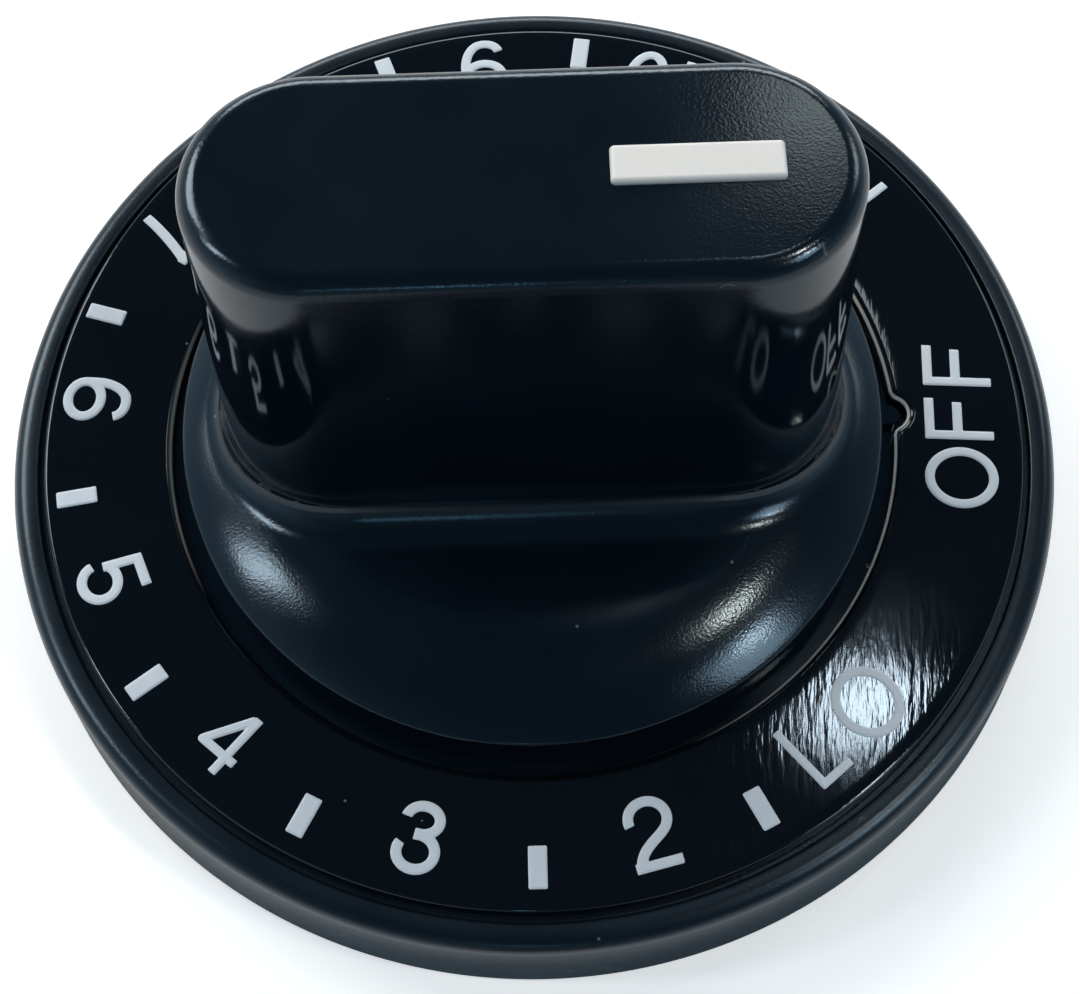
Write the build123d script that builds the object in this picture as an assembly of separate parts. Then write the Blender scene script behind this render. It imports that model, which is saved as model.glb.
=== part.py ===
from build123d import *
import math
import os

# A range burner knob: a black moulding with a paddle grip, a hub and a skirt, a ring-shaped dial plate,
# a white pointer bar and a steel spring band round the slotted stem.
# The origin is the centre of the skirt's foot, +Z runs up the shaft axis, +X points along the pointer.

# Skirt: the outer wall, its rolled rim and the web that carries the dial
skirt_d = 63.5
skirt_draft = 3.0
skirt_wall = 2.2
skirt_foot_round = 0.4
rim_crest_z = 6.5
rim_width = 1.95
rim_roll = 1.0
rim_lip_round = 0.25
web_t = 1.8
web_corner_round = 1.2

# Dial plate: a flat ring that stands half in the skirt's recess
dial_w = 7.7
dial_t = 1.0
dial_recess = 0.5
dial_rim_gap = 0.4
dial_hub_gap = 1.0
dial_bore_round = 0.5
dial_rim_round = 0.25
notch_angle = 0.3
notch_depth = 0.9
notch_r = 1.0
notch_mouth_round = 0.8
key_clearance = 0.4
key_sink = 0.4

# Tick marks: thin pads of ink between the legends, printed a little off the dial's centre
tick_angles = (-63.4, -90.4, -118.5, -144.3, -171.2, -197.7, -224.6, -251.6, -278.7, -305.6)
tick_width = 1.05
tick_length = 2.4
tick_rim_margin = 0.92
tick_ink_t = 0.06
print_shift_x = -0.23
print_shift_y = 0.34

# Hub: the round shoulder between the dial and the grip; its flat crown rolls down past the grip's corners
hub_edge_rise = 2.0
hub_edge_round = 0.35
hub_crown_rise = 2.1
hub_crown_margin = 0.95
hub_wall = 2.0

# Grip: a paddle with full-round ends, sized at its top and wider down to the hub
grip_end_inset = 4.1
grip_top_w = 12.6
grip_h = 23.0
grip_draft = 3.0
grip_edge_round = 1.2
grip_root_round = 2.4
grip_wall = 2.0
grip_top_wall = 3.0

# Pointer bar, pressed into a pocket in the grip's top
pointer_l = 8.4
pointer_w = 2.15
pointer_end_inset = 4.0
pointer_depth = 1.2
pointer_proud = 0.3
pointer_edge_round = 0.25
pointer_corner_round = 0.25
pointer_clearance = 0.04

# Stem and shaft socket
stem_d = 12.0
stem_recess = 1.0
shaft_d = 6.35
shaft_flat_t = 5.5
shaft_clearance = 0.05
lead_in_clearance = 0.45
lead_in_l = 5.0
lead_in_chamfer = 0.4
socket_depth = 19.0
slot_w = 1.2
slot_l = 8.0

# Ribs between the stem and the hub's wall
rib_count = 4
rib_t = 1.2
rib_clip_gap = 0.4

# Spring band round the stem
clip_t = 0.7
clip_w = 3.0
clip_end_margin = 0.8
clip_groove_depth = 0.4
clip_clearance = 0.03
clip_mouth_w = 4.5

# Places that follow from the sizes
skirt_r = skirt_d / 2
skirt_lean = math.tan(math.radians(skirt_draft))
rim_in_r = skirt_r - rim_width
dial_r = rim_in_r - dial_rim_gap
dial_bore_r = dial_r - dial_w
hub_r = dial_bore_r - dial_hub_gap
stem_r = stem_d / 2
seat_z = rim_crest_z - dial_recess
dial_top_z = seat_z + dial_t
hub_edge_z = dial_top_z + hub_edge_rise
hub_top_z = hub_edge_z + hub_crown_rise
grip_top_z = hub_top_z + grip_h
web_z = seat_z - web_t
hub_ceiling_z = hub_top_z - hub_wall
grip_lean = math.tan(math.radians(grip_draft))
grip_top_l = 2 * (hub_r - grip_end_inset)
grip_l = grip_top_l + 2 * (grip_top_z - hub_ceiling_z) * grip_lean
grip_w = grip_top_w + 2 * (grip_top_z - hub_ceiling_z) * grip_lean
grip_corner_x = (grip_top_l - grip_top_w) / 2
grip_corner_y = grip_top_w / 2 + grip_h * grip_lean
hub_crown_r = math.hypot(grip_corner_x, grip_corner_y) + hub_crown_margin
clip_low_z = stem_recess + clip_end_margin
clip_high_z = clip_low_z + clip_w
rib_low_z = clip_high_z + rib_clip_gap
through = 1.0


def turned(profile):
    """The solid that a half section sweeps out round the Z axis; its seam lies beside the grip."""
    return revolve(Plane.YZ * make_face(profile), Axis.Z)


def outer_shell():
    """Skirt, dial recess and hub as one turned solid, without the hollow underside."""
    rim_out_r = skirt_r - rim_crest_z * skirt_lean
    side = FilletPolyline(
        (0, 0),
        (skirt_r, 0),
        (rim_out_r, rim_crest_z),
        (rim_in_r, rim_crest_z),
        (rim_in_r, seat_z),
        (hub_r, seat_z),
        (hub_r, hub_edge_z),
        radius=[skirt_foot_round, rim_roll, rim_lip_round, 0, 0],
    )
    shoulder = TangentArc((hub_crown_r, hub_top_z), (hub_r, hub_edge_z), tangent=(1, 0))
    crown = Polyline((hub_crown_r, hub_top_z), (0, hub_top_z), (0, 0))
    shell = turned(side + shoulder + crown)
    hub_edges = shell.edges().filter_by(GeomType.CIRCLE)
    hub_rim = hub_edges.filter_by(lambda e: is_at(e, hub_r, hub_edge_z))
    return fillet(hub_rim, hub_edge_round)


def is_at(edge, radius, height):
    """Whether a round edge has this radius and lies at this height."""
    same_radius = abs(edge.radius - radius) < 1e-4
    return same_radius and abs(edge.center().Z - height) < 1e-4


def grip_block():
    """The paddle grip, from inside the hub up to its rounded top edge."""
    outline = Pos(0, 0, hub_ceiling_z) * SlotOverall(grip_l, grip_w)
    block = extrude(outline, grip_top_z - hub_ceiling_z, taper=grip_draft)
    top = block.faces().sort_by(Axis.Z)[-1]
    return fillet(top.edges(), grip_edge_round)


def underside_hollow():
    """The open space under the skirt and the hub, as a turned solid that reaches below the foot."""
    skirt_in_r = skirt_r - skirt_wall
    skirt_in_top_r = skirt_in_r - web_z * skirt_lean
    hub_in_r = hub_r - hub_wall
    side = FilletPolyline(
        (0, -through),
        (skirt_in_r, -through),
        (skirt_in_r, 0),
        (skirt_in_top_r, web_z),
        (hub_in_r, web_z),
        (hub_in_r, hub_ceiling_z),
        (0, hub_ceiling_z),
        radius=[0, 0, web_corner_round, 0, hub_wall],
    )
    return turned(side + Line((0, hub_ceiling_z), (0, -through)))


def grip_cores():
    """The two pockets that core out the grip, one on each side of the stem."""
    low_z = hub_ceiling_z - through
    core_l = grip_l - 2 * grip_wall
    core_w = grip_w - 2 * grip_wall
    outline = SlotOverall(core_l, core_w) - Circle(stem_r)
    height = grip_top_z - grip_top_wall - low_z
    cores = [extrude(Pos(0, 0, low_z) * face, height, taper=grip_draft) for face in outline.faces()]
    return Compound(cores)


def stem_and_ribs():
    """The stem, from its open end up into the hub, and the ribs that tie it to the hub's wall."""
    stem = Pos(0, 0, stem_recess) * extrude(Circle(stem_r), hub_top_z - stem_recess)
    rib = Pos(hub_r / 2, 0, rib_low_z) * extrude(Rectangle(hub_r, rib_t), hub_top_z - rib_low_z)
    ribs = PolarLocations(0, rib_count, start_angle=180 / rib_count) * rib
    return stem + ribs


def d_outline(radius, flat_t):
    """A round outline with one flat on its +X side, flat_t across."""
    cut = 2 * radius
    return Circle(radius) - Pos(flat_t - radius + cut / 2, 0) * Rectangle(cut, 2 * cut)


def shaft_socket():
    """The round lead-in, the D-shaped socket above it and the slots that let the stem spring."""
    lead_r = shaft_d / 2 + lead_in_clearance
    socket_r = shaft_d / 2 + shaft_clearance
    socket_flat_t = shaft_flat_t + 2 * shaft_clearance
    mouth = Plane.XY.offset(stem_recess)
    lead = mouth * extrude(Circle(lead_r), lead_in_l)
    flare = mouth * Pos(0, 0, lead_in_chamfer / 2) * Cone(lead_r + lead_in_chamfer, lead_r, lead_in_chamfer)
    socket = mouth * extrude(d_outline(socket_r, socket_flat_t), socket_depth)
    slots = mouth * extrude(Rectangle(slot_w, stem_d + through), slot_l)
    return lead + flare + socket + slots


def clip_groove():
    """The groove round the stem in which the spring band sits."""
    ring = Circle(stem_r + through) - Circle(stem_r - clip_groove_depth)
    return Pos(0, 0, clip_low_z) * extrude(ring, clip_w)


def notch_outline():
    """The dial's locating notch at the +X axis: a round tip that sweeps out into the bore on both sides."""
    tip = Vector(dial_bore_r + notch_depth - notch_r, 0)
    bore_reach = dial_bore_r + notch_mouth_round
    tip_reach = notch_r + notch_mouth_round
    turn_x = (bore_reach**2 - tip_reach**2 + tip.X**2) / (2 * tip.X)
    turn = Vector(turn_x, math.sqrt(bore_reach**2 - turn_x**2))
    on_bore = turn * (dial_bore_r / bore_reach)
    on_tip = tip + (turn - tip) * (notch_r / tip_reach)
    inward = (on_bore - turn) + (on_tip - turn)
    sweep = ThreePointArc(on_bore, turn + inward.normalized() * notch_mouth_round, on_tip)
    nose = ThreePointArc(on_tip, tip + Vector(notch_r, 0), Vector(on_tip.X, -on_tip.Y))
    base = Line(on_bore, (on_bore.X, -on_bore.Y))
    return make_face(sweep + nose + mirror(sweep, Plane.XZ) + base)


def key_outline():
    """The round-ended key on the hub's wall that stands in the dial's notch."""
    tip_x = dial_bore_r + notch_depth - notch_r
    root_l = tip_x - hub_r + through
    key_r = notch_r - key_clearance
    return Pos(tip_x - root_l / 2, 0) * Rectangle(root_l, 2 * key_r) + Pos(tip_x, 0) * Circle(key_r)


def pointer_outline(grow):
    """The pointer bar's outline on the grip's top, made larger all round by grow."""
    centre_x = grip_top_l / 2 - pointer_end_inset - pointer_l / 2
    bar = RectangleRounded(pointer_l + 2 * grow, pointer_w + 2 * grow, pointer_corner_round + grow)
    return Pos(centre_x, 0, grip_top_z - pointer_depth) * bar


def knob_body():
    """The black moulding."""
    shell = outer_shell()
    grip = grip_block()
    body = shell + grip
    root = new_edges(shell, grip, combined=body)
    body = fillet(root, grip_root_round)
    body = body - (underside_hollow() - stem_and_ribs()) - grip_cores()
    body = body - shaft_socket() - clip_groove()
    key = Pos(0, 0, seat_z) * extrude(key_outline(), dial_t - key_sink)
    body = body + Rot(0, 0, notch_angle) * key
    return body - extrude(pointer_outline(pointer_clearance), pointer_depth + through)


def dial_plate():
    """The flat ring with its notch and its rolled top edges."""
    ring = Circle(dial_r) - Circle(dial_bore_r) - Rot(0, 0, notch_angle) * notch_outline()
    plate = Pos(0, 0, seat_z) * extrude(ring, dial_t)
    top = plate.faces().sort_by(Axis.Z)[-1]
    plate = fillet(top.inner_wires()[0].edges(), dial_bore_round)
    top = plate.faces().sort_by(Axis.Z)[-1]
    return fillet(top.outer_wire().edges(), dial_rim_round)


def dial_ticks():
    """The pads of ink of the tick marks, on the dial's face."""
    tick_mid_r = dial_r - tick_rim_margin - tick_length / 2
    pad = Pos(tick_mid_r, 0, dial_top_z) * extrude(Rectangle(tick_length, tick_width), tick_ink_t)
    print_centre = Pos(print_shift_x, print_shift_y)
    return Compound([print_centre * Rot(0, 0, angle) * pad for angle in tick_angles])


def pointer_inlay():
    """The white bar in the grip's top."""
    bar = extrude(pointer_outline(0), pointer_depth + pointer_proud)
    top = bar.faces().sort_by(Axis.Z)[-1]
    return fillet(top.edges(), pointer_edge_round)


def shaft_spring_clip():
    """The spring-steel band round the stem, open on one side."""
    inner_r = stem_r - clip_groove_depth + clip_clearance
    outer_r = inner_r + clip_t
    mouth = Pos(-outer_r, 0) * Rectangle(2 * outer_r, clip_mouth_w)
    band = Circle(outer_r) - Circle(inner_r) - mouth
    return Pos(0, 0, clip_low_z) * extrude(band, clip_w)


os.makedirs("parts", exist_ok=True)
export_step(knob_body(), "parts/knob_body.step")
export_step(dial_plate(), "parts/dial_plate.step")
export_step(dial_ticks(), "parts/dial_ticks.step")
export_step(pointer_inlay(), "parts/pointer_inlay.step")
export_step(shaft_spring_clip(), "parts/shaft_spring_clip.step")
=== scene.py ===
import math

import bpy
import numpy as np
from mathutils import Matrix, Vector
from mathutils.bvhtree import BVHTree


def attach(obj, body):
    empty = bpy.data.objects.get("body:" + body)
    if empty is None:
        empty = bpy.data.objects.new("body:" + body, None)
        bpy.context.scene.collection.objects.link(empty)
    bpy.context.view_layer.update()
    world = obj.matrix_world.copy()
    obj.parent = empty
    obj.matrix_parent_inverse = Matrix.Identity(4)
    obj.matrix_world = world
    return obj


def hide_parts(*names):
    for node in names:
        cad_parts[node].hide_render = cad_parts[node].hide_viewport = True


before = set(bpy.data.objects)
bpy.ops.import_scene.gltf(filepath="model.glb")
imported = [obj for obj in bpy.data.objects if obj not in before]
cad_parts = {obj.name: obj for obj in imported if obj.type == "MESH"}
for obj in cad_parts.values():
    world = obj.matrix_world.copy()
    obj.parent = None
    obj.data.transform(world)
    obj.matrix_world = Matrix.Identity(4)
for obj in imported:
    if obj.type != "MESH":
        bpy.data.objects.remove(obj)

for extra in ("Cube", "Light", "Camera"):
    if extra in bpy.data.objects:
        bpy.data.objects.remove(bpy.data.objects[extra])
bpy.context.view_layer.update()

MM = 0.001
MICRON = 0.000001
scene = bpy.context.scene
scene.view_settings.view_transform = "Standard"

# Sizes shared with the solids, in millimetres and, where they lean, in radians
SKIRT_R = 31.75
SKIRT_LEAN = math.radians(3)
FOOT_ROUND = 0.4
RIM_Z = 6.5
RIM_IN_R = 29.8
RIM_ROLL = 1.0
LIP_ROUND = 0.25
SEAT_Z = 6.0
HUB_R = 20.7
HUB_EDGE_Z = 9.0
HUB_EDGE_ROUND = 0.35
HUB_TOP = 11.1
GRIP_TOP = 34.1
GRIP_HALF_W = 6.3
GRIP_SPINE = 10.3
GRIP_LEAN = math.radians(3)
GRIP_EDGE_ROUND = 1.2
GRIP_ROOT_ROUND = 2.4
CROWN_MARGIN = 0.95
CROWN_R = math.hypot(GRIP_SPINE, GRIP_HALF_W + (GRIP_TOP - HUB_TOP) * math.tan(GRIP_LEAN)) + CROWN_MARGIN
DIAL_TOP = 7.0
DIAL_R = 29.4
DIAL_BORE_R = 21.7
DIAL_BORE_ROUND = 0.5
DIAL_RIM_ROUND = 0.25
NOTCH_ANGLE = math.radians(0.3)
NOTCH_DEPTH = 0.9
NOTCH_R = 1.0
NOTCH_MOUTH_ROUND = 0.8

# The dial's print: thickness, centre a little off the axis, and the tick marks with their angles in degrees
INK_T = 0.06
PRINT_CENTRE = (-0.23, 0.34)
TICK_ANGLES = (-63.4, -90.4, -118.5, -144.3, -171.2, -197.7, -224.6, -251.6, -278.7, -305.6)
TICK_W = 1.05
TICK_L = 2.4
TICK_CORNER = 0.1
TICK_RIM_MARGIN = 0.92
TICK_MID_R = DIAL_R - TICK_RIM_MARGIN - TICK_L / 2

# Grid step and width of the ink's domed edge: in millimetres for ticks, as shares of a character's height
TICK_STEP = 0.05
TICK_EDGE = 0.14
GLYPH_STEP = 0.014
GLYPH_EDGE = 0.035
GLYPH_MARGIN = 0.05

# The moulding's fine skin tucks in and sinks under the solid's flat faces and replaces faces within reach
SKIN_TUCK = 0.05
SKIN_SINK = 0.002
SKIN_REACH = 0.08
SAME_HEIGHT = 0.001
SHARP_ANGLE = math.radians(40)

BLACK = (0, 0, 0, 1)
DUST_GREY = (0.30, 0.32, 0.33, 1)


class Val:
    """A shader socket that can be added to, multiplied and so on."""

    def __init__(self, tree, socket):
        self.tree = tree
        self.socket = socket

    def node(self, kind, inputs=None, output=0, **settings):
        """A new node of this kind with its inputs set or linked, as the socket of one of its outputs."""
        made = self.tree.nodes.new(kind)
        for name, value in settings.items():
            setattr(made, name, value)
        for key, value in (inputs or {}).items():
            if isinstance(value, Val):
                self.tree.links.new(value.socket, made.inputs[key])
            else:
                made.inputs[key].default_value = value
        return Val(self.tree, made.outputs[output])

    def math(self, operation, *others):
        """A Math node with this value first."""
        return self.node("ShaderNodeMath", dict(enumerate((self, *others))), operation=operation)

    def __add__(self, other):
        return self.math("ADD", other)

    def __sub__(self, other):
        return self.math("SUBTRACT", other)

    def __rsub__(self, other):
        return self.node("ShaderNodeMath", {0: other, 1: self}, operation="SUBTRACT")

    def __mul__(self, other):
        return self.math("MULTIPLY", other)

    def __truediv__(self, other):
        return self.math("DIVIDE", other)

    def __pow__(self, other):
        return self.math("POWER", other)

    def __abs__(self):
        return self.math("ABSOLUTE")

    __radd__ = __add__
    __rmul__ = __mul__

    def ramp(self, low, high, to_low=0.0, to_high=1.0):
        """The value mapped smoothly from low..high and clamped there."""
        values = {"Value": self, "From Min": low, "From Max": high, "To Min": to_low, "To Max": to_high}
        return self.node("ShaderNodeMapRange", values, interpolation_type="SMOOTHSTEP")

    def blend(self, first, second):
        """The first colour where the value is 0, the second where it is 1."""
        values = {0: self, 6: first, 7: second}
        return self.node("ShaderNodeMix", values, output=2, data_type="RGBA")

    def noise(self, scale, detail=2.0, stretch=(1, 1, 1)):
        """Noise at a point, with features of about 1 / scale metres."""
        at = self.node("ShaderNodeMapping", {"Vector": self, "Scale": [scale * s for s in stretch]})
        return self.node("ShaderNodeTexNoise", {"Vector": at, "Scale": 1.0, "Detail": detail})

    def cells(self, scale):
        """Distance to the nearest of scattered points, about 1 / scale metres apart."""
        return self.node("ShaderNodeTexVoronoi", {"Vector": self, "Scale": scale})

    def parts(self):
        """The vector's three parts."""
        return [self.node("ShaderNodeSeparateXYZ", {"Vector": self}, output=axis) for axis in "XYZ"]

    def millimetres(self):
        """The three parts of a place in metres, in millimetres."""
        return [part / MM for part in self.parts()]

    def bump(self, distance):
        return self.node("ShaderNodeBump", {"Height": self, "Distance": distance})


def new_material(name, **constants):
    """A material with its Principled node's constants set; gives it, the node and the object coordinates."""
    material = bpy.data.materials.new(name)
    material.use_nodes = True
    tree = material.node_tree
    shader = tree.nodes["Principled BSDF"]
    for key, value in constants.items():
        shader.inputs[key.replace("_", " ")].default_value = value
    place = Val(tree, None).node("ShaderNodeTexCoord", output=3)
    return material, shader, place


def feed(shader, **values):
    """Links values to the shader's inputs."""
    for key, value in values.items():
        value.tree.links.new(value.socket, shader.inputs[key.replace("_", " ")])


def body_plastic():
    """Black satin moulding with a little dust, smoother on the grip's ends and beside the dial."""
    material, shader, at = new_material("body_plastic_black", IOR=1.5, Specular_Tint=(0.70, 0.87, 1.0, 1))
    x, y, z = at.millimetres()
    radius = (x * x + y * y) ** 0.5
    wall = z.ramp(HUB_TOP + 0.1, HUB_TOP + 0.7) * (1 - z.ramp(GRIP_TOP - 1.6, GRIP_TOP - 0.6))
    end = abs(x).ramp(GRIP_SPINE - 2.8, GRIP_SPINE + 2.2)
    flank = wall * (1 - end)
    below_dial = 1 - z.ramp(DIAL_TOP - 0.3, DIAL_TOP - 0.1)
    gap = below_dial * (1 - radius.ramp(DIAL_BORE_R + 1.8, DIAL_BORE_R + 3.3))
    skirt = radius.ramp(RIM_IN_R - 0.8, RIM_IN_R - 0.3)
    haze = at.noise(180, 3)
    grain = at.noise(7000, 2)
    specks = at.cells(260).ramp(0.02, 0.035, 1.0, 0.0)
    threads = abs(at.noise(420, 1) - 0.5).ramp(0.0, 0.012, 1.0, 0.0)
    fibres = threads * at.cells(95).ramp(0.09, 0.12, 1.0, 0.0)
    dust = specks.math("MAXIMUM", fibres)
    black = haze.blend((0.0016, 0.0042, 0.0074, 1), (0.0026, 0.0060, 0.0100, 1))
    satin = haze.ramp(0.3, 0.7, 0.14, 0.18) + skirt * 0.12
    smooth = gap.math("MAXIMUM", wall * end)
    feed(
        shader,
        Base_Color=(dust * (1 - gap) * 0.3).blend(black, DUST_GREY),
        Roughness=satin * (1 - 0.6 * smooth) + flank * 0.02 + dust * 0.3,
        Normal=(grain * (1 - 0.9 * smooth) + dust * 0.5).bump(8 * MICRON),
    )
    return material


def dial_gloss():
    """High gloss black, with ripples that break up reflections and a painted highlight: a pale band on the
    bore's edge beside the hub.
    """
    material, shader, at = new_material("dial_gloss_black", IOR=1.5, Specular_Tint=(0.74, 0.89, 1.0, 1))
    x, y, z = at.millimetres()
    radius = (x * x + y * y) ** 0.5
    # Painted highlight: a pale band on the bore's rolled edge, full on the right side and faint on the left,
    # stands in for light caught by the edge
    glint_side = x.ramp(8, 15) + 0.4 * (1 - x.ramp(-21.5, -19))
    edge = z.ramp(DIAL_TOP - 0.34, DIAL_TOP - 0.28) * (1 - z.ramp(DIAL_TOP - 0.16, DIAL_TOP - 0.08))
    painted_glint = edge * (1 - radius.ramp(DIAL_BORE_R + 1.8, DIAL_BORE_R + 2.8)) * glint_side
    face = z.ramp(DIAL_TOP - 0.1, DIAL_TOP - 0.01)
    haze = at.noise(140, 3)
    turned = at.node("ShaderNodeMapping", {"Vector": at, "Rotation": (0, 0, math.radians(6))})
    ripples = turned.noise(1, 2, (2600, 420, 1)) + 0.3 * turned.noise(1, 2, (6500, 1100, 1))
    specks = at.cells(330).ramp(0.018, 0.03, 1.0, 0.0)
    black = haze.blend((0.0013, 0.0023, 0.0036, 1), (0.0022, 0.0033, 0.0048, 1))
    dusty = (specks * 0.4).blend(black, DUST_GREY)
    feed(
        shader,
        Base_Color=painted_glint.blend(dusty, (0.80, 0.79, 0.75, 1)),
        Roughness=haze.ramp(0.35, 0.65, 0.05, 0.08) + specks * 0.3,
        Normal=(ripples * face).bump(7.5 * MICRON),
    )
    return material


def dial_print():
    """Pale screen-printed ink, slightly uneven."""
    material, shader, at = new_material("dial_print_pale", IOR=1.45)
    haze = at.noise(900, 3)
    grain = at.noise(9000, 2)
    feed(
        shader,
        Base_Color=haze.blend((0.52, 0.57, 0.62, 1), (0.59, 0.63, 0.67, 1)),
        Roughness=grain.ramp(0.3, 0.7, 0.42, 0.55),
        Normal=grain.bump(4 * MICRON),
    )
    return material


def pointer_white():
    """Matte white plastic with a soft mottling."""
    material, shader, at = new_material("pointer_white_plastic", IOR=1.46)
    haze = at.noise(700, 3)
    grain = at.noise(9000, 2)
    feed(
        shader,
        Base_Color=haze.blend((0.69, 0.66, 0.625, 1), (0.73, 0.70, 0.665, 1)),
        Roughness=grain.ramp(0.3, 0.7, 0.38, 0.5),
        Normal=grain.bump(3 * MICRON),
    )
    return material


def spring_steel():
    """Rolled spring strip with fine lines round the band."""
    material, shader, at = new_material("spring_steel_strip", Metallic=1.0)
    lines = at.noise(1, 3, (120, 120, 9000))
    haze = at.noise(500, 3)
    feed(
        shader,
        Base_Color=haze.blend((0.46, 0.46, 0.47, 1), (0.58, 0.58, 0.58, 1)),
        Roughness=lines.ramp(0.3, 0.7, 0.24, 0.4),
        Normal=lines.bump(4 * MICRON),
    )
    return material


def arc(cx, cy, rx, ry, start, end):
    """Points along part of an ellipse, from one angle to another in degrees."""
    count = max(6, int(abs(end - start) / 6))
    turn = np.radians(np.linspace(start, end, count))
    return np.column_stack([cx + rx * np.cos(turn), cy + ry * np.sin(turn)])


def bend(*handles):
    """Points along a cubic curve with these four handles."""
    t = np.linspace(0, 1, 24)[:, None]
    a, b, c, d = (np.array(h, float) for h in handles)
    return (1 - t) ** 3 * a + 3 * (1 - t) ** 2 * t * b + 3 * (1 - t) * t**2 * c + t**3 * d


def run(*points):
    """Straight strokes through these points."""
    return np.array(points, float)


def joined(*parts):
    """One stroke from parts that follow each other."""
    return np.vstack(parts)


# Centre lines of the characters' strokes at a height of 1; first come the character's and the stroke's width
six = [
    joined(
        bend((0.63, 0.765), (0.60, 0.89), (0.49, 0.93), (0.38, 0.9275)),
        arc(0.38, 0.45, 0.2975, 0.4775, 96, 180)[1:],
        bend((0.0825, 0.45), (0.0825, 0.42), (0.0825, 0.36), (0.0825, 0.3125))[1:],
    ),
    arc(0.365, 0.3125, 0.2825, 0.24, 0, 360),
]
nine = [np.array([0.72, 1.0]) - stroke for stroke in six]
two = [
    joined(
        arc(0.335, 0.69, 0.26, 0.24, 193, -28),
        bend((0.5646, 0.5773), (0.47, 0.40), (0.115, 0.36), (0.085, 0.035))[1:],
    ),
    run((0.01, 0.07), (0.65, 0.07)),
]
three = [
    joined(arc(0.325, 0.7375, 0.2265, 0.19, 175, -90), run((0.25, 0.5475))),
    joined(run((0.25, 0.5355)), arc(0.325, 0.304, 0.2565, 0.2315, 90, -206)),
]
four = [
    run((0.49, 0), (0.49, 1)),
    run((0.455, 0.955), (0.05, 0.29), (0.665, 0.29)),
]
five = [
    run((0.13, 0.9275), (0.61, 0.9275)),
    run((0.175, 0.99), (0.115, 0.43)),
    arc(0.32, 0.325, 0.2665, 0.2525, 142, -172),
]
seven = [
    run((0, 0.925), (0.64, 0.925)),
    bend((0.575, 0.93), (0.46, 0.70), (0.32, 0.38), (0.235, 0)),
]
eight = [
    arc(0.33, 0.7375, 0.2215, 0.19, 0, 360),
    arc(0.33, 0.304, 0.2565, 0.2315, 0, 360),
]
one = [
    run((0.32, 0), (0.32, 1)),
    bend((0.0, 0.76), (0.16, 0.76), (0.27, 0.80), (0.30, 0.98)),
]
letter_f = [
    run((0.07, 0), (0.07, 1)),
    run((0.07, 0.93), (0.67, 0.93)),
    run((0.07, 0.52), (0.61, 0.52)),
]
letter_h = [
    run((0.07, 0), (0.07, 1)),
    run((0.70, 0), (0.70, 1)),
    run((0.07, 0.53), (0.70, 0.53)),
]
letter_l = [
    run((0.06, 0), (0.06, 1.02)),
    run((0.06, 0.06), (0.56, 0.06)),
]
GLYPHS = {
    "O": (0.97, 0.14, [arc(0.485, 0.5, 0.417, 0.46, 0, 360)]),
    "F": (0.754, 0.14, letter_f),
    "L": (0.70, 0.12, letter_l),
    "H": (0.77, 0.14, letter_h),
    "I": (0.14, 0.14, [run((0.07, 0), (0.07, 1))]),
    "0": (0.66, 0.145, [arc(0.33, 0.5, 0.2575, 0.4275, 0, 360)]),
    "1": (0.47, 0.145, one),
    "2": (0.66, 0.14, two),
    "3": (0.66, 0.145, three),
    "4": (0.68, 0.132, four),
    "5": (0.66, 0.145, five),
    "6": (0.72, 0.145, six),
    "7": (0.64, 0.15, seven),
    "8": (0.66, 0.145, eight),
    "9": (0.72, 0.145, nine),
}
LETTER_GAP = 0.128

# The dial's legends: text, angle of its middle, radius of its foot, height, and its turn away from radial
LEGENDS = [
    ("OFF", -2.64, 27.92, 4.1, -1.4),
    ("LO", -48.6, 28.16, 4.1, -1.9),
    ("HI", 38.35, 28.06, 4.1, 0),
    ("2", -76.65, 28.36, 4.17, 0),
    ("3", -104.65, 28.36, 4.17, 0),
    ("4", -131.75, 28.09, 3.98, 0),
    ("5", -158.9, 28.36, 4.14, 0),
    ("6", 174.8, 28.36, 4.17, 0),
    ("7", 148.1, 28.36, 4.17, 0),
    ("8", 121.9, 28.36, 4.17, 0),
    ("9", 95.0, 28.36, 4.17, 0),
    ("10", 68.7, 28.36, 4.17, 0),
]


def stroke_distance(points, strokes, half):
    """How far each point lies from the inked strokes, less than 0 inside them. Open strokes end square."""
    best = np.full(len(points), np.inf)
    for line in strokes:
        far = np.full(len(points), np.inf)
        for a, b in zip(line[:-1], line[1:]):
            along = b - a
            t = np.clip((points - a) @ along / (along @ along), 0, 1)
            far = np.minimum(far, np.linalg.norm(points - a - np.outer(t, along), axis=1) - half)
        if not np.allclose(line[0], line[-1]):
            for end, before in ((line[0], line[1]), (line[-1], line[-2])):
                past = (points - end) @ (end - before) / np.linalg.norm(end - before)
                near = np.linalg.norm(points - end, axis=1) < 2 * half
                far = np.where(near & (past > -half), np.maximum(far, past), far)
        best = np.minimum(best, far)
    return best


def pad_distance(points, length, width, corner):
    """How far each point lies from a rectangle with round corners, less than 0 inside it."""
    q = np.abs(points) - np.array([length / 2 - corner, width / 2 - corner])
    return np.hypot(*np.maximum(q, 0).T) + np.minimum(q.max(1), 0) - corner


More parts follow.
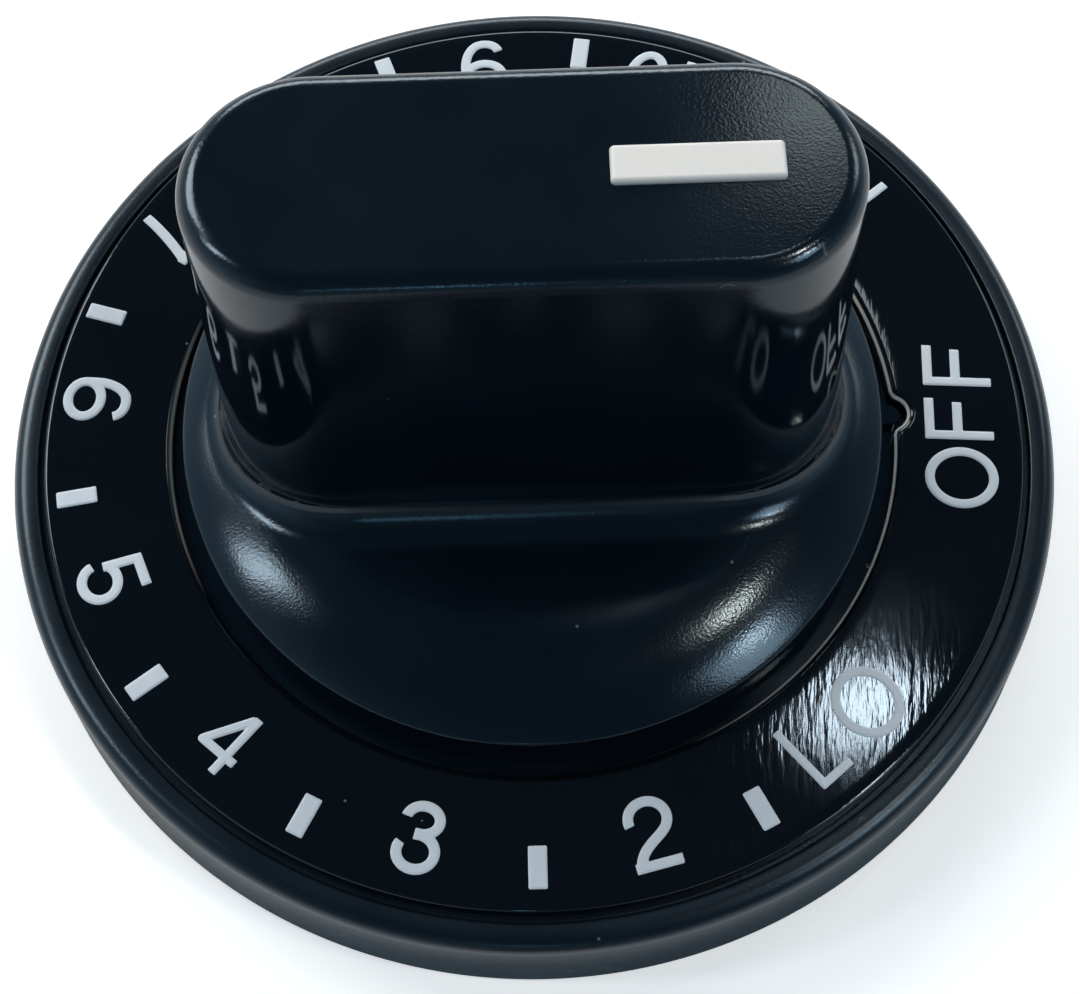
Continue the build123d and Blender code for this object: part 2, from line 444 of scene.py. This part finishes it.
def ink_pad(distance, low, high, step, edge):
    """Points, heights and faces of a pad of ink that fills the outline and is domed towards its edge."""
    xs = np.arange(low[0] - step, high[0] + 2 * step, step)
    ys = np.arange(low[1] - step, high[1] + 2 * step, step)
    grid = np.stack(np.meshgrid(xs, ys, indexing="ij"), -1)
    flat = grid.reshape(-1, 2)
    inside = (distance(flat) < 0.5 * step).reshape(len(xs), len(ys))
    full = inside[:-1, :-1] & inside[1:, :-1] & inside[1:, 1:] & inside[:-1, 1:]
    index = np.arange(len(flat)).reshape(len(xs), len(ys))
    quads = np.stack([index[:-1, :-1], index[1:, :-1], index[1:, 1:], index[:-1, 1:]], -1)[full]
    uses = np.bincount(quads.ravel(), minlength=len(flat))
    used = np.flatnonzero(uses)
    points = flat[used].copy()

    # The outer points move onto the outline
    rim = uses[used] < 4
    nudge = step * 0.05
    for _ in range(4):
        here = points[rim]
        off = distance(here)
        slope_x = distance(here + np.array([nudge, 0])) - off
        slope_y = distance(here + np.array([0, nudge])) - off
        slope = np.column_stack([slope_x, slope_y])
        slope /= np.maximum(np.linalg.norm(slope, axis=1), 1e-9)[:, None]
        points[rim] = here - slope * off[:, None]
    depth = np.clip(-distance(points) / edge, 0, 1)
    depth[rim] = 0
    renumber = np.zeros(len(flat), int)
    renumber[used] = np.arange(len(used))
    return points, 1 - (1 - depth) ** 2, renumber[quads]


def piece_from(name, points, faces, material):
    """A mesh piece from points in millimetres, smooth but for its sharp edges."""
    mesh = bpy.data.meshes.new(name)
    mesh.from_pydata((np.asarray(points) * MM).tolist(), [], [list(map(int, face)) for face in faces])
    mesh.shade_smooth()
    mesh.set_sharp_from_angle(angle=SHARP_ANGLE)
    mesh.materials.append(material)
    piece = bpy.data.objects.new(name, mesh)
    scene.collection.objects.link(piece)
    return piece


def section_arc(cx, cz, radius, start, end, count):
    """Points of an arc in a half section, from one angle to another in radians."""
    turn = np.linspace(start, end, count)
    return np.column_stack([cx + radius * np.cos(turn), cz + radius * np.sin(turn)])


def grip_outline(count):
    """Points of the grip's middle line and the outward directions there, once round the grip."""
    turn = np.linspace(-math.pi / 2, math.pi / 2, count, endpoint=False)
    along = np.linspace(GRIP_SPINE, -GRIP_SPINE, count, endpoint=False)
    right_end = np.column_stack([np.full(count, GRIP_SPINE), np.zeros(count), np.cos(turn), np.sin(turn)])
    back_flank = np.column_stack([along, np.zeros(count), np.zeros(count), np.ones(count)])
    half = np.vstack([right_end, back_flank])
    whole = np.vstack([half, -half])
    return whole[:, :2], whole[:, 2:]


def skirt_wall_r(z):
    """The radius of the skirt's leaning outer wall at a height."""
    return SKIRT_R - z * math.tan(SKIRT_LEAN)


def body_rows():
    """Rings of points down the moulding's outside, from the grip's top edge to the skirt's foot."""
    spine, outward = grip_outline(110)
    lean, slope = GRIP_LEAN, math.tan(GRIP_LEAN)
    rows = []

    def grip_ring(offset, z):
        rows.append(np.column_stack([spine + outward * offset, np.full(len(spine), z)]))

    edge_z = GRIP_TOP - GRIP_EDGE_ROUND
    edge_r = GRIP_HALF_W + GRIP_EDGE_ROUND * slope - GRIP_EDGE_ROUND / math.cos(lean)
    grip_ring(edge_r - SKIN_TUCK, GRIP_TOP - SKIN_SINK)
    for offset, z in section_arc(edge_r, edge_z, GRIP_EDGE_ROUND, math.pi / 2, lean, 14):
        grip_ring(offset, z)

    # The root fillet is a ball that touches the grip's wall and the hub: first the places of its centre
    roll_w, roll_h = HUB_R - CROWN_R, HUB_TOP - HUB_EDGE_Z
    roll_r = (roll_w**2 + roll_h**2) / (2 * roll_h)
    roll_z = HUB_TOP - roll_r
    ball_z = np.full(len(spine), HUB_TOP + GRIP_ROOT_ROUND)
    for _ in range(30):
        offset = GRIP_HALF_W + (GRIP_TOP - ball_z) * slope + GRIP_ROOT_ROUND / math.cos(lean)
        plan = spine + outward * offset[:, None]
        past_crown = np.maximum(np.hypot(*plan.T) - CROWN_R, 0)
        ball_z = roll_z + np.sqrt((roll_r + GRIP_ROOT_ROUND) ** 2 - past_crown**2)
    centre = np.column_stack([plan, ball_z])
    wall_dir = np.column_stack([outward * math.cos(lean), np.full(len(spine), math.sin(lean))])
    tilt = past_crown / (roll_r + GRIP_ROOT_ROUND)
    hub_dir = np.column_stack([plan / np.hypot(*plan.T)[:, None] * tilt[:, None], np.sqrt(1 - tilt**2)])
    bend_angle = np.arccos((wall_dir * hub_dir).sum(1))[:, None]

    wall_top = rows[-1]
    wall_low = centre - GRIP_ROOT_ROUND * wall_dir
    for t in np.linspace(0, 1, 7)[1:]:
        rows.append(wall_top + (wall_low - wall_top) * t)
    for t in np.linspace(0, 1, 18)[1:]:
        swung = np.sin((1 - t) * bend_angle) * wall_dir + np.sin(t * bend_angle) * hub_dir
        rows.append(centre - GRIP_ROOT_ROUND * swung / np.sin(bend_angle))

    # Outside the fillet all rings are turned about the axis: first the hub's rolled shoulder
    foot = rows[-1]
    foot_r = np.hypot(foot[:, 0], foot[:, 1])
    radial = foot[:, :2] / foot_r[:, None]
    rim_x = HUB_R - HUB_EDGE_ROUND - CROWN_R
    rim_z = roll_z + math.sqrt((roll_r - HUB_EDGE_ROUND) ** 2 - rim_x**2)
    rim_angle = math.atan2(rim_z - roll_z, rim_x)
    roll_end = CROWN_R + roll_r * math.cos(rim_angle)
    for t in np.linspace(0, 1, 26)[1:]:
        r = foot_r + (roll_end - foot_r) * t
        z = roll_z + np.sqrt(roll_r**2 - np.maximum(r - CROWN_R, 0) ** 2)
        rows.append(np.column_stack([radial * r[:, None], z]))

    # Then the hub's edge, the dial's recess, the skirt's rolled rim, its wall and its foot
    crest_z = RIM_Z - RIM_ROLL
    crest_r = skirt_wall_r(crest_z) - RIM_ROLL / math.cos(SKIRT_LEAN)
    lip_r = RIM_IN_R + LIP_ROUND
    foot_in_r = skirt_wall_r(FOOT_ROUND) - FOOT_ROUND / math.cos(SKIRT_LEAN)
    turned = np.vstack([
        section_arc(HUB_R - HUB_EDGE_ROUND, rim_z, HUB_EDGE_ROUND, rim_angle, 0, 8)[1:],
        [(HUB_R, SEAT_Z), (RIM_IN_R, SEAT_Z)],
        section_arc(lip_r, RIM_Z - LIP_ROUND, LIP_ROUND, math.pi, math.pi / 2, 6),
        section_arc(crest_r, crest_z, RIM_ROLL, math.pi / 2, SKIRT_LEAN, 12),
        section_arc(foot_in_r, FOOT_ROUND, FOOT_ROUND, SKIRT_LEAN, -math.pi / 2, 8),
        [(foot_in_r - SKIN_TUCK, SKIN_SINK)],
    ])
    for r, z in turned:
        rows.append(np.column_stack([radial * r, np.full(len(radial), z)]))
    return rows


def ring_faces(row_count, ring_count, closed=False):
    """Quads between rings of points that lie one after another."""
    index = np.arange(row_count * ring_count).reshape(row_count, ring_count)
    if closed:
        index = np.vstack([index, index[:1]])
    after = np.roll(index, -1, axis=1)
    return np.stack([index[:-1], index[1:], after[1:], after[:-1]], -1).reshape(-1, 4)


def body_piece(material):
    """The moulding: a fine skin on its outside, with the flat top and the hollow underside of the solid."""
    rows = body_rows()
    points = np.vstack(rows)
    faces = ring_faces(len(rows), len(rows[0])).tolist()
    skin = BVHTree.FromPolygons(points.tolist(), faces)
    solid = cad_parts["knob_body"].data
    corners = np.array([vertex.co for vertex in solid.vertices]) / MM
    inner = []
    for polygon in solid.polygons:
        spots = corners[list(polygon.vertices)]
        on_top = np.abs(spots[:, 2] - GRIP_TOP).max() < SAME_HEIGHT
        if on_top or skin.find_nearest(Vector(spots.mean(0)))[3] > SKIN_REACH:
            inner.append(list(polygon.vertices))
    used, renumbered = np.unique(np.array(inner), return_inverse=True)
    faces += (renumbered.reshape(-1, 3) + len(points)).tolist()
    return piece_from("knob_moulding", np.vstack([points, corners[used]]), faces, material)


def notch_edge():
    """Points round the dial's bore and its notch, and the direction into the plate at each."""
    tip = np.array([DIAL_BORE_R + NOTCH_DEPTH - NOTCH_R, 0])
    bore_reach, tip_reach = DIAL_BORE_R + NOTCH_MOUTH_ROUND, NOTCH_R + NOTCH_MOUTH_ROUND
    turn_x = (bore_reach**2 - tip_reach**2 + tip[0] ** 2) / (2 * tip[0])
    turn = np.array([turn_x, math.sqrt(bore_reach**2 - turn_x**2)])
    bore_angle = math.atan2(turn[1], turn[0])
    tip_angle = math.atan2(*(turn - tip)[::-1])
    bore = section_arc(0, 0, DIAL_BORE_R, bore_angle, 2 * math.pi - bore_angle, 400)
    nose = section_arc(*tip, NOTCH_R, -tip_angle, tip_angle, 24)
    mouth = section_arc(*turn, NOTCH_MOUTH_ROUND, math.pi + tip_angle, math.pi + bore_angle, 16)[1:-1]
    lower_mouth = mouth[::-1] * [1, -1]
    edge = np.vstack([bore, lower_mouth, nose, mouth])
    inward = np.vstack([
        bore / DIAL_BORE_R,
        (turn * [1, -1] - lower_mouth) / NOTCH_MOUTH_ROUND,
        (nose - tip) / NOTCH_R,
        (turn - mouth) / NOTCH_MOUTH_ROUND,
    ])
    c, s = math.cos(NOTCH_ANGLE), math.sin(NOTCH_ANGLE)
    spin = np.array([[c, s], [-s, c]])
    return edge @ spin, inward @ spin


def dial_piece(material):
    """The dial plate with smooth rolled edges round its bore, its notch and its rim."""
    edge, inward = notch_edge()
    spokes = edge / np.hypot(*edge.T)[:, None]
    bore_z, rim_z = DIAL_TOP - DIAL_BORE_ROUND, DIAL_TOP - DIAL_RIM_ROUND
    bore_roll = section_arc(DIAL_BORE_ROUND, bore_z, DIAL_BORE_ROUND, math.pi, math.pi / 2, 10)
    rim_roll = section_arc(DIAL_R - DIAL_RIM_ROUND, rim_z, DIAL_RIM_ROUND, math.pi / 2, 0, 7)
    rows = [np.column_stack([edge, np.full(len(edge), SEAT_Z)])]
    for offset, z in bore_roll:
        rows.append(np.column_stack([edge + inward * offset, np.full(len(edge), z)]))
    face_in = rows[-1]
    face_out = np.column_stack([spokes * rim_roll[0, 0], np.full(len(edge), DIAL_TOP)])
    for t in np.linspace(0, 1, 12)[1:]:
        rows.append(face_in + (face_out - face_in) * t)
    for r, z in [*rim_roll[1:], (DIAL_R, SEAT_Z)]:
        rows.append(np.column_stack([spokes * r, np.full(len(edge), z)]))
    return piece_from("dial_ring", np.vstack(rows), ring_faces(len(rows), len(edge), True), material)


def legend_piece(material):
    """All the dial's numbers and words as one piece of raised ink; a word stands on a straight line."""
    points, faces, count = [], [], 0
    for text, angle, foot_r, height, lean in LEGENDS:
        place, turn = math.radians(angle), math.radians(angle + lean)
        out = np.array([math.cos(turn), math.sin(turn)])
        right = np.array([-out[1], out[0]])
        spot = np.array(PRINT_CENTRE) + foot_r * np.array([math.cos(place), math.sin(place)])
        pen = -0.5 * (sum(GLYPHS[c][0] for c in text) + LETTER_GAP * (len(text) - 1))
        for character in text:
            width, stroke, strokes = GLYPHS[character]
            flat, rise, quads = ink_pad(
                lambda spots: stroke_distance(spots, strokes, stroke / 2),
                (-GLYPH_MARGIN, -GLYPH_MARGIN),
                (width + GLYPH_MARGIN, 1 + GLYPH_MARGIN),
                GLYPH_STEP,
                GLYPH_EDGE,
            )
            plan = spot + np.outer((flat[:, 0] + pen) * height, right) - np.outer(flat[:, 1] * height, out)
            points.append(np.column_stack([plan, DIAL_TOP + INK_T * rise]))
            faces.append(quads + count)
            count += len(flat)
            pen += width + LETTER_GAP
    return piece_from("dial_legends", np.vstack(points), np.vstack(faces), material)


def add_input(tree, name, kind):
    """A named input of a node group, as its identifier."""
    return tree.interface.new_socket(name, in_out="INPUT", socket_type=kind).identifier


def tick_piece(material):
    """The tick marks: one inked pad, set round the dial at the tick marks' places."""
    corner = (TICK_L / 2, TICK_W / 2)
    flat, rise, quads = ink_pad(
        lambda spots: pad_distance(spots, TICK_L, TICK_W, TICK_CORNER),
        (-corner[0], -corner[1]),
        corner,
        TICK_STEP,
        TICK_EDGE,
    )
    pad = piece_from("tick_pad", np.column_stack([flat, INK_T * rise]), quads, material)
    centre = np.array([*PRINT_CENTRE, DIAL_TOP])
    turns = np.radians(TICK_ANGLES)
    spots = centre + TICK_MID_R * np.column_stack([np.cos(turns), np.sin(turns), np.zeros(len(turns))])
    ticks = piece_from("tick_marks", spots, [], material)

    tree = bpy.data.node_groups.new("tick_ring", "GeometryNodeTree")
    points_id = add_input(tree, "Tick places", "NodeSocketGeometry")
    pad_id = add_input(tree, "Pad", "NodeSocketObject")
    centre_id = add_input(tree, "Print centre", "NodeSocketVector")
    ink_id = add_input(tree, "Ink", "NodeSocketMaterial")
    tree.interface.new_socket("Ticks", in_out="OUTPUT", socket_type="NodeSocketGeometry")
    given = Val(tree, None).node("NodeGroupInput")
    sockets = {s.identifier: Val(tree, s) for s in given.socket.node.outputs}
    shape = given.node("GeometryNodeObjectInfo", {"Object": sockets[pad_id]}, output="Geometry")
    position = given.node("GeometryNodeInputPosition")
    radial = given.node("ShaderNodeVectorMath", {0: position, 1: sockets[centre_id]}, operation="SUBTRACT")
    turned = given.node("FunctionNodeAlignRotationToVector", {"Vector": radial}, axis="X", pivot_axis="Z")
    placing = {"Points": sockets[points_id], "Instance": shape, "Rotation": turned}
    placed = given.node("GeometryNodeInstanceOnPoints", placing)
    whole = given.node("GeometryNodeRealizeInstances", {"Geometry": placed})
    inked = given.node("GeometryNodeSetMaterial", {"Geometry": whole, "Material": sockets[ink_id]})
    tree.links.new(inked.socket, tree.nodes.new("NodeGroupOutput").inputs[0])

    modifier = ticks.modifiers.new("tick_ring", "NODES")
    modifier.node_group = tree
    modifier[pad_id] = pad
    modifier[centre_id] = [v * MM for v in centre]
    modifier[ink_id] = material
    bpy.context.view_layer.update()
    graph = bpy.context.evaluated_depsgraph_get()
    mesh = bpy.data.meshes.new_from_object(ticks.evaluated_get(graph))
    ticks.modifiers.remove(modifier)
    ticks.data = mesh
    mesh.shade_smooth()
    bpy.data.objects.remove(pad)
    return ticks


def area_lamp(name, place, target, size, radiance, colour):
    """A soft rectangular lamp, in metres, of this radiance."""
    lamp = bpy.data.lights.new(name, "AREA")
    lamp.shape = "RECTANGLE"
    lamp.size, lamp.size_y = size
    lamp.energy = radiance * math.pi * size[0] * size[1]
    lamp.color = colour
    holder = bpy.data.objects.new(name, lamp)
    holder.location = place
    holder.rotation_euler = (Vector(target) - Vector(place)).to_track_quat("-Z", "Y").to_euler()
    scene.collection.objects.link(holder)


def floor():
    """A white floor with the knob's shadow; in the knob's reflections it has painted shade, grey at the
    knob's foot and dim in front.
    """
    half = 1.5
    corners = [(-half, -half, 0), (half, -half, 0), (half, half, 0), (-half, half, 0)]
    mesh = bpy.data.meshes.new("floor")
    mesh.from_pydata(corners, [], [(0, 1, 2, 3)])
    plane = bpy.data.objects.new("floor", mesh)
    scene.collection.objects.link(plane)
    material, shader, at = new_material("floor_white", Roughness=0.9, Emission_Strength=1.0)
    mesh.materials.append(material)
    x, y, _ = at.millimetres()
    camera_ray = at.node("ShaderNodeLightPath", output="Is Camera Ray")
    mirror_ray = at.node("ShaderNodeLightPath", output="Is Glossy Ray")
    clear_ray = at.node("ShaderNodeLightPath", output="Is Transmission Ray")
    ray_length = at.node("ShaderNodeLightPath", output="Ray Length") / MM
    # Painted shade in the knob's reflections: near the skirt the floor loses its glow and turns grey, bluish
    # on the right, in place of the shadow at the knob's foot
    clear_of_skirt = ((x * x + y * y) ** 0.5).ramp(1.02 * SKIRT_R, 1.12 * SKIRT_R)
    # Painted shade in the knob's reflections: the floor seen along long mirror rays is darkened, most in
    # front of the grip, in place of shade falling there
    in_front = (1 - y.ramp(-30, -24)) * (1 - abs(x).ramp(10, 24))
    painted_far_shade = mirror_ray * ray_length.ramp(15, 25) * (0.3 + 0.6 * in_front)
    seen = camera_ray + (mirror_ray + clear_ray) * clear_of_skirt * (1 - painted_far_shade)
    white = at.noise(6, 2).blend((0.80, 0.80, 0.80, 1), (0.82, 0.82, 0.82, 1))
    painted_foot_shade = x.ramp(-26, -8).blend((0.56, 0.56, 0.55, 1), (0.27, 0.34, 0.38, 1))
    reflected = (mirror_ray * (1 - clear_of_skirt)).blend(white, painted_foot_shade)
    feed(
        shader,
        Base_Color=painted_far_shade.blend(reflected, BLACK),
        Emission_Color=seen.math("MINIMUM", 1.0).blend(BLACK, (0.45, 0.45, 0.45, 1)),
    )


def studio_world():
    """A dim blue room, dark overhead and in front, lightest at the horizon and on the left."""
    world = bpy.data.worlds.new("studio")
    world.use_nodes = True
    tree = world.node_tree
    x, y, z = Val(tree, None).node("ShaderNodeTexCoord", output="Generated").parts()
    across = x.ramp(-0.7, 0.7)
    horizon = across.blend((0.52, 0.70, 0.84, 1), (0.36, 0.52, 0.66, 1))
    walls = across.blend((0.30, 0.44, 0.54, 1), (0.13, 0.21, 0.28, 1))
    sides = z.ramp(0.15, 0.4).blend(horizon, walls)
    front = 1 - y.ramp(-0.85, -0.35)
    around = (front * 0.6).blend(sides, BLACK)
    sky = z.ramp(0.35, 0.85).blend(around, (0.045, 0.077, 0.108, 1))
    tree.links.new(sky.socket, tree.nodes["Background"].inputs["Color"])
    scene.world = world


def photo_camera():
    """The camera, at the place and with the lens that fit the photograph."""
    camera = bpy.data.objects.new("camera", bpy.data.cameras.new("camera"))
    camera.data.lens = 64.523
    camera.data.sensor_width = 36.0
    camera.data.clip_start = 0.01
    camera.data.clip_end = 10.0
    camera.location = (0.000543, -0.052347, 0.111271)
    camera.rotation_euler = [math.radians(v) for v in (24.5038, 0.8654, -1.6466)]
    scene.collection.objects.link(camera)
    scene.camera = camera


materials = {
    "knob_body": body_plastic(),
    "dial_plate": dial_gloss(),
    "dial_ticks": dial_print(),
    "pointer_inlay": pointer_white(),
    "shaft_spring_clip": spring_steel(),
}
for node, material in materials.items():
    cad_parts[node].data.materials[0] = material

legends = legend_piece(materials["dial_ticks"])
ticks = tick_piece(materials["dial_ticks"])
moulding = body_piece(materials["knob_body"])
dial = dial_piece(materials["dial_plate"])
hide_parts("dial_ticks")
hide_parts("knob_body")
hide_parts("dial_plate")
slots = (
    (legends, "dial_print"),
    (ticks, "dial_print"),
    (moulding, "body_plastic"),
    (dial, "dial_gloss"),
)
for piece, slot in slots:
    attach(piece, "root")

# All lamps but one point at the knob's middle; lamp_back_right is a small near one for the grip's top
MIDDLE = (0, 0, 0.01)
GRIP_TOP_RIGHT = (0.015, 0.005, 0.034)
floor()
area_lamp("lamp_left", (-0.395, 0.0, 0.385), MIDDLE, (0.055, 0.155), 17.0, (0.93, 0.97, 1.0))
area_lamp("lamp_right", (0.25, -0.060, 0.49), MIDDLE, (0.045, 0.03), 75.0, (1.0, 0.90, 0.78))
area_lamp("lamp_right_low", (0.335, -0.17, 0.40), MIDDLE, (0.035, 0.03), 48.0, (0.95, 0.98, 1.0))
area_lamp("panel_right", (0.36, -0.22, 0.37), MIDDLE, (0.15, 0.18), 5.5, (0.72, 0.88, 1.0))
area_lamp("lamp_strip", (0.118, 0.174, 0.60), MIDDLE, (0.026, 0.034), 30.0, (0.93, 0.97, 1.0))
area_lamp("lamp_back_left", (-0.37, 0.28, 0.38), MIDDLE, (0.26, 0.22), 9.0, (1.0, 0.98, 0.95))
area_lamp("lamp_back_right", (0.0275, 0.054, 0.100), GRIP_TOP_RIGHT, (0.011, 0.014), 5.4, (1.0, 0.96, 0.88))
area_lamp("panel_back_right", (0.41, 0.31, 0.31), MIDDLE, (0.16, 0.14), 5.0, (1.0, 0.95, 0.86))
area_lamp("lamp_rear", (0.0, 0.60, 0.30), MIDDLE, (0.60, 0.18), 7.0, (1.0, 0.98, 0.95))
area_lamp("lamp_front", (-0.04, -0.55, 0.25), MIDDLE, (0.03, 0.03), 14.0, (0.35, 0.75, 1.0))
studio_world()
photo_camera()
